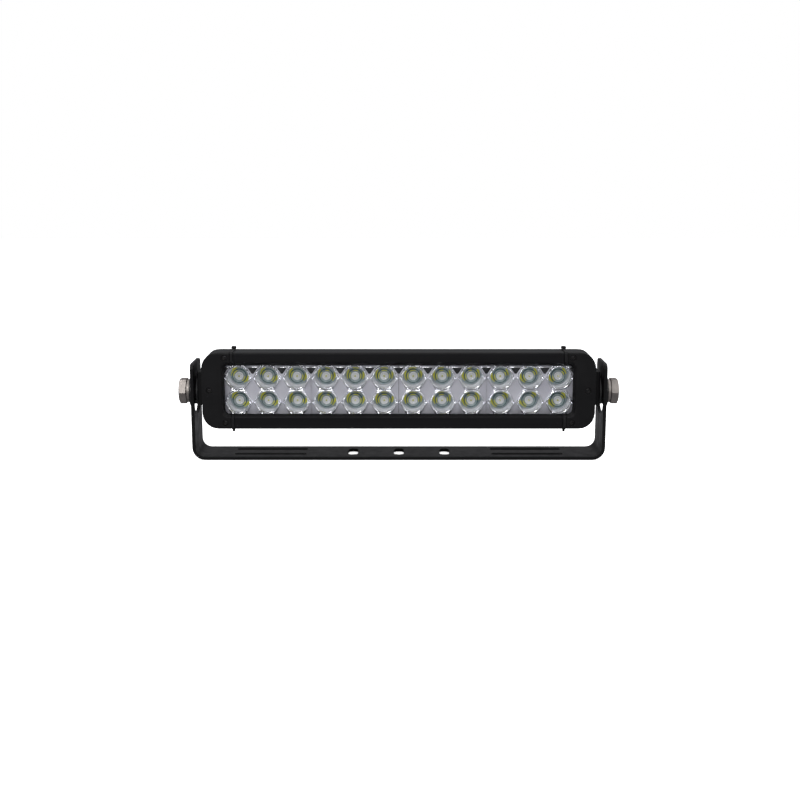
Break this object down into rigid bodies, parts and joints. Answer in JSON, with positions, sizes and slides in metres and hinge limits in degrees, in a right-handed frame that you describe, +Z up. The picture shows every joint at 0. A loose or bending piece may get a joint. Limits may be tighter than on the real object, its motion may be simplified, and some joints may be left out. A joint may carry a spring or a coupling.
{
  "type": "led light bar",
  "caption": "Sealed two-row LED work light bar with chrome reflectors, end caps and rear cooling fins, tilting on bolts in a slotted U bracket.",
  "frame": {"origin": "middle of the light bar's footprint, level with the underside of the bracket's base", "axes": "+X along the lamp and its pivot axis, -Y the way it shines, +Z up"},
  "size_m": [0.3802, 0.0666, 0.0979],
  "materials": {
    "powder_coat": "black powder coat, fine texture, satin",
    "anodised_housing": "black anodised aluminium extrusion, satin",
    "coated_casting": "cast aluminium under black powder coat, satin",
    "black_rubber": "matt black silicone rubber",
    "stainless": "stainless steel, slightly warm",
    "black_steel": "black zinc plated steel",
    "chrome_reflector": "vacuum metallised plastic",
    "clear_lens": "clear polycarbonate",
    "board_white": "white solder mask on an aluminium core, LEDs with clear domes",
    "board_green": "green solder mask",
    "thermal_pad": "grey thermal pad",
    "black_plastic": "moulded black nylon",
    "copper": "enamelled copper winding",
    "capacitor_can": "sleeved aluminium can",
    "lead_insulation": "red silicone insulation"
  },
  "bodies": {
    "bracket": {"bracket": "powder_coat"},
    "lamp": {"board_screw_left_lower": "stainless", "board_screw_left_upper": "stainless", "board_screw_right_lower": "stainless", "board_screw_right_upper": "stainless", "breather_vent": "black_plastic", "cap_screw_left_lower": "black_steel", "cap_screw_left_middle": "black_steel", "cap_screw_left_upper": "black_steel", "cap_screw_right_lower": "black_steel", "cap_screw_right_middle": "black_steel", "cap_screw_right_upper": "black_steel", "driver_board": "board_green", "driver_capacitor_1": "capacitor_can", "driver_capacitor_2": "capacitor_can", "driver_capacitor_3": "capacitor_can", "driver_inductor_1": "copper", "driver_inductor_2": "copper", "driver_terminal": "black_plastic", "end_cap_left": "coated_casting", "end_cap_right": "coated_casting", "end_gasket_left": "black_rubber", "end_gasket_right": "black_rubber", "flat_washer_left": "black_steel", "flat_washer_right": "black_steel", "front_lens": "clear_lens", "gland_body": "black_plastic", "gland_lock_nut": "black_steel", "gland_nut": "black_plastic", "gland_seal": "black_rubber", "housing": "anodised_housing", "led_board_left": "board_white", "led_board_right": "board_white", "led_lead_lower": "lead_insulation", "led_lead_upper": "lead_insulation", "lens_clamp_left": "stainless", "lens_clamp_right": "stainless", "lens_seal": "black_rubber", "pivot_bolt_left": "stainless", "pivot_bolt_right": "stainless", "pivot_spacer_left": "black_plastic", "pivot_spacer_right": "black_plastic", "reflector_1": "chrome_reflector", "reflector_2": "chrome_reflector", "reflector_3": "chrome_reflector", "reflector_4": "chrome_reflector", "spring_washer_left": "stainless", "spring_washer_right": "stainless", "thermal_pad_left": "thermal_pad", "thermal_pad_right": "thermal_pad", "thread_insert_left": "stainless", "thread_insert_right": "stainless", "tie_screw_left_lower": "black_steel", "tie_screw_left_upper": "black_steel", "tie_screw_right_lower": "black_steel", "tie_screw_right_upper": "black_steel"}
  },
  "joints": [
    {"name": "tilt", "type": "hinge", "parent": "bracket", "child": "lamp", "pos_m": [0, -0.00575, 0.0574], "axis": [1, 0, 0], "range_deg": [-90, 90]}
  ]
}
